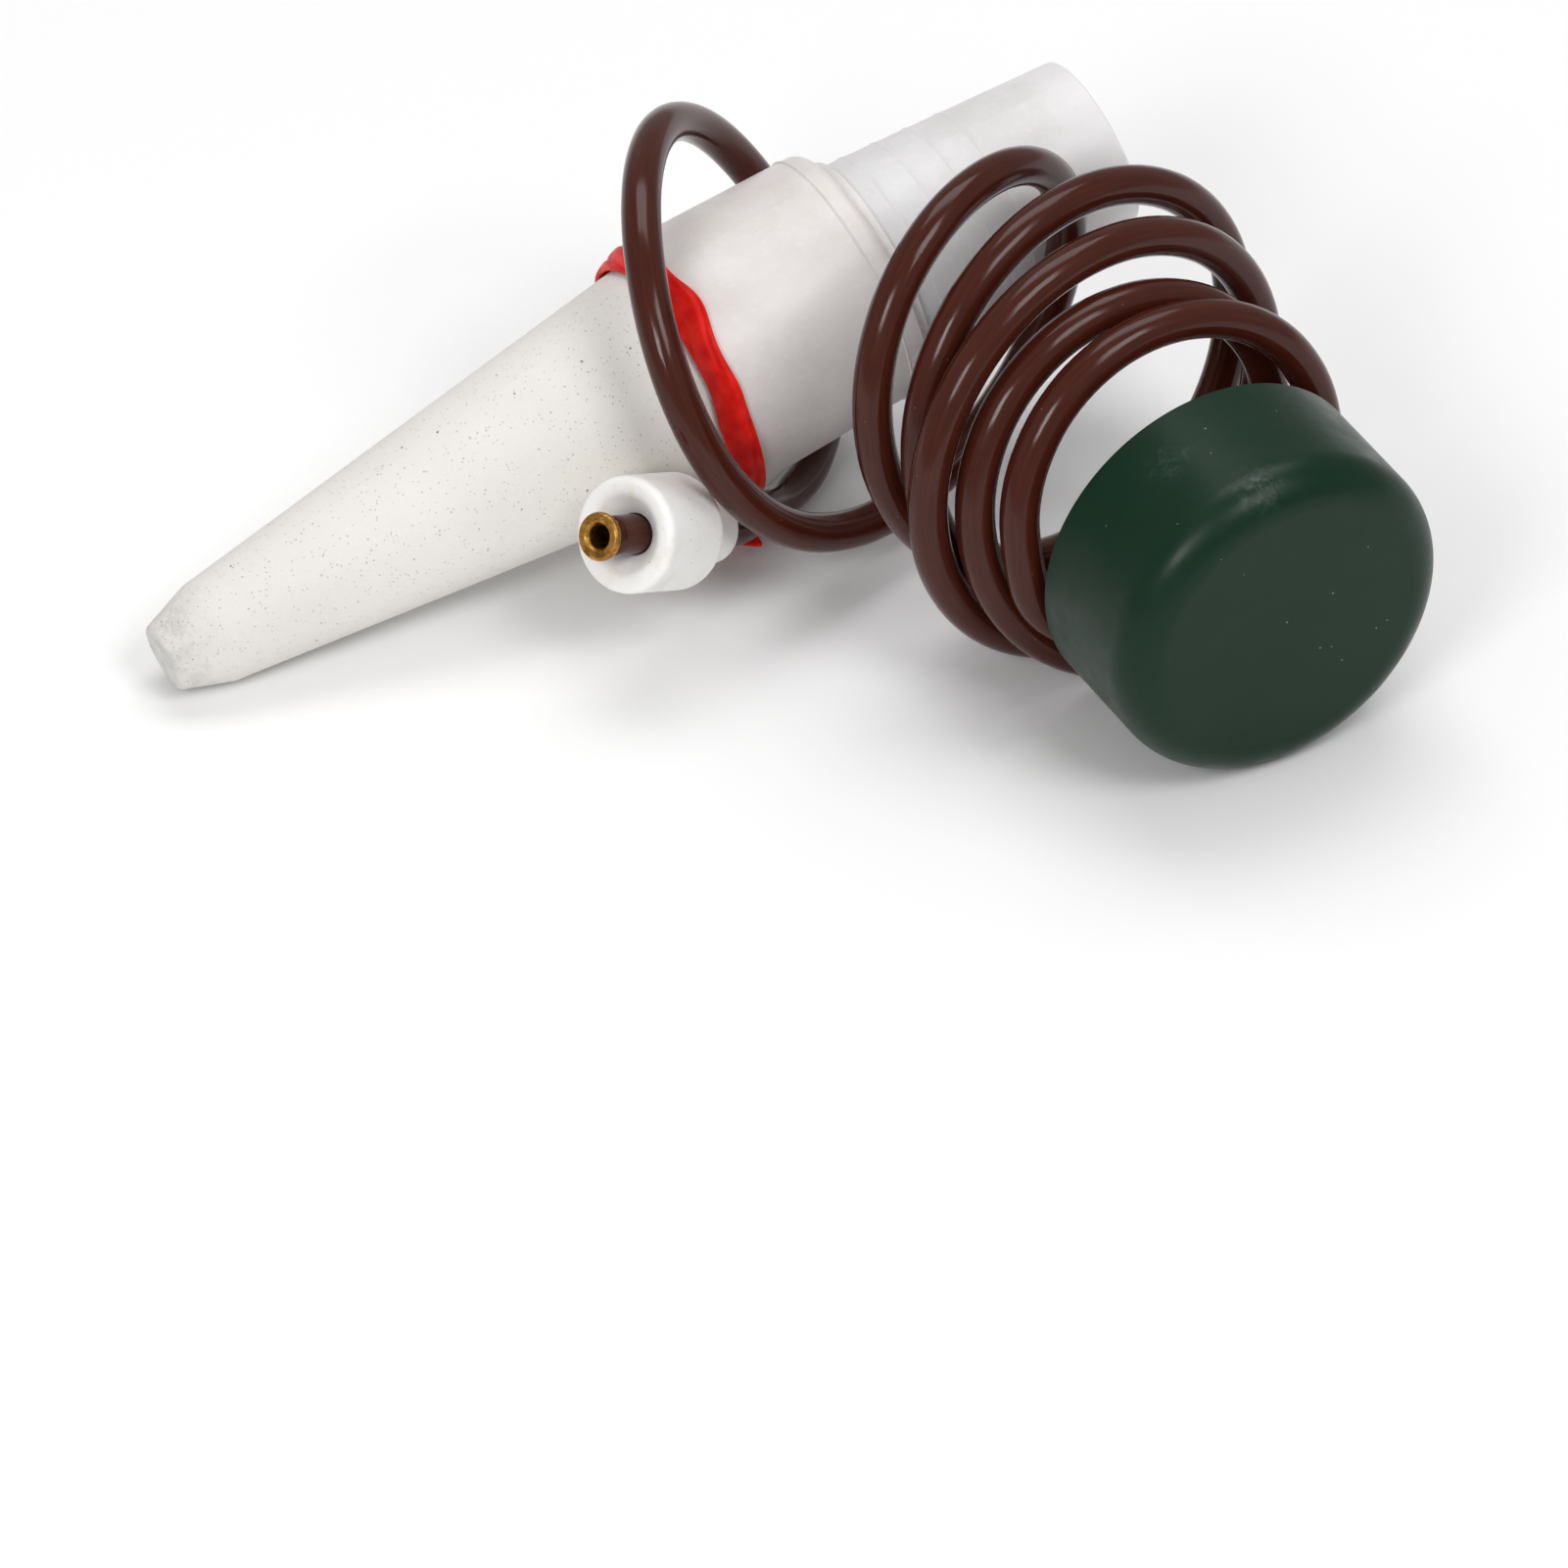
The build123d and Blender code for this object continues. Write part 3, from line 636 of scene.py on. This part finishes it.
# The tie's tail, in millimetres
TAIL_ROOT = Vector((8.64, 28.34, 6.92))
TAIL_HEADING = -91
TAIL_FALL = 23.5
TAIL_LENGTH = 10.0
TAIL_SLANT = 0.8  # how much longer its one edge is, and how much shorter the other
TAIL_HALF_WIDTH = 1.5
TAIL_THICKNESS = 0.7
TAIL_SINK = 0.2
TAIL_DISH = 0.25
TAIL_WAVE = 0.12
TAIL_WAVE_PACE = 1.1  # radians in a millimetre
TAIL_STEPS = 14
TAIL_LANES = 7
TAIL_UV = (6, 10)  # millimetres for a unit of UV, across and along


def tie_tail_mesh(name):
    """The tie's cut end: a short strip, dished along its length and cut on the slant."""
    bm = bmesh.new()
    uv = bm.loops.layers.uv.new("strip")
    ahead = direction(TAIL_HEADING, -TAIL_FALL)
    across = direction(TAIL_HEADING + 90, 0)
    normal = ahead.cross(across)

    def spot(step, lane, depth):
        aside = lane / (TAIL_LANES - 1) * 2 - 1
        along = step / (TAIL_STEPS - 1) * (TAIL_LENGTH + TAIL_SLANT * aside)
        lift = TAIL_DISH * aside * aside + TAIL_WAVE * math.sin(along * TAIL_WAVE_PACE) - TAIL_SINK - depth
        place = TAIL_ROOT + along * ahead + TAIL_HALF_WIDTH * aside * across + lift * normal
        return bm.verts.new(place * MM)

    top, low = (
        [[spot(step, lane, depth) for lane in range(TAIL_LANES)] for step in range(TAIL_STEPS)]
        for depth in (0.0, TAIL_THICKNESS)
    )
    quads = []
    for i in range(TAIL_STEPS - 1):
        for k in range(TAIL_LANES - 1):
            quads.append((top[i][k], top[i + 1][k], top[i + 1][k + 1], top[i][k + 1]))
            quads.append((low[i][k], low[i][k + 1], low[i + 1][k + 1], low[i + 1][k]))
        for k in (0, TAIL_LANES - 1):
            quads.append((top[i][k], low[i][k], low[i + 1][k], top[i + 1][k]))
    for k in range(TAIL_LANES - 1):
        for i in (0, TAIL_STEPS - 1):
            quads.append((top[i][k], top[i][k + 1], low[i][k + 1], low[i][k]))
    for quad in quads:
        for loop in bm.faces.new(quad).loops:
            offset = loop.vert.co / MM - TAIL_ROOT
            loop[uv].uv = (offset.dot(across) / TAIL_UV[0], offset.dot(ahead) / TAIL_UV[1])
    return finished(bm, name)


red = tie_material()
for mesh in (tie_mesh("red_tie_strip"), tie_tail_mesh("red_tie_tail")):
    strip = add_object(mesh.name, mesh)
    mesh.materials.append(red)
    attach(strip, "spike")
    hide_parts("red_tie")


# Floor, light and camera, in metres

FLOOR_HALF_WIDTH = 4.0
FLOOR_FRONT = -2.5
FLOOR_BACK = 2.0  # the sweep starts here
SWEEP_RADIUS = 0.8
SWEEP_STEPS = 12
SWEEP_TOP = 3.0
FLOOR_DROP = 0.0001  # keeps the floor clear of what lies on it


def add_floor():
    """A sheet that runs back and sweeps up far behind."""
    profile = [(FLOOR_FRONT, 0.0), (FLOOR_BACK, 0.0)]
    for step in range(1, SWEEP_STEPS + 1):
        angle = math.pi / 2 * step / SWEEP_STEPS
        profile.append((FLOOR_BACK + SWEEP_RADIUS * math.sin(angle), SWEEP_RADIUS * (1 - math.cos(angle))))
    profile.append((FLOOR_BACK + SWEEP_RADIUS, SWEEP_TOP))
    bm = bmesh.new()
    ends = (-FLOOR_HALF_WIDTH, FLOOR_HALF_WIDTH)
    rows = [[bm.verts.new((x, y, z - FLOOR_DROP)) for x in ends] for y, z in profile]
    for first, second in zip(rows, rows[1:]):
        bm.faces.new((first[0], first[1], second[1], second[0])).smooth = True
    mesh = bpy.data.meshes.new("floor")
    bm.to_mesh(mesh)
    bm.free()
    mesh.materials.append(floor_material())
    add_object("floor", mesh)


# Place, size and power of each light, which looks at the origin
LIGHTS = {
    "key": ((-0.8, -0.6, 0.8), (0.36, 0.36), 4.5),
    "top": ((0.25, 0.42, 1.2), (1.0, 0.6), 5.9),
    "fill": ((0.22, -0.83, 1.18), (0.55, 0.55), 5.9),
}
SKY = 0.42


def add_light(name, at, size, power):
    light = bpy.data.lights.new(name, "AREA")
    light.shape = "RECTANGLE"
    light.size, light.size_y = size
    light.energy = power
    lamp = add_object(name, light)
    lamp.location = at
    lamp.rotation_euler = (-Vector(at)).to_track_quat("-Z", "Y").to_euler()


def add_sky():
    """Even white light from all round."""
    world = bpy.data.worlds.new("studio")
    world.use_nodes = True
    background = world.node_tree.nodes["Background"]
    background.inputs["Color"].default_value = (1, 1, 1, 1)
    background.inputs["Strength"].default_value = SKY
    bpy.context.scene.world = world


# The photo's own view
VIEW_HEADING = -119.3  # from the target to the camera, in degrees
VIEW_ELEVATION = 40
VIEW_DISTANCE = 1.5
VIEW_TARGET = Vector((-9.15, -21.15, 0)) * MM
SENSOR = 36
LENS = 279.95


def add_camera():
    lens = bpy.data.cameras.new("camera")
    lens.sensor_width = SENSOR
    lens.lens = LENS
    lens.clip_start = 0.05
    back = direction(VIEW_HEADING, VIEW_ELEVATION)
    camera = add_object("camera", lens)
    camera.location = VIEW_TARGET + VIEW_DISTANCE * back
    camera.rotation_euler = (-back).to_track_quat("-Z", "Y").to_euler()
    bpy.context.scene.camera = camera


add_floor()
for name, light in LIGHTS.items():
    add_light(name, *light)
add_sky()
add_camera()
bpy.context.scene.view_settings.view_transform = "Standard"
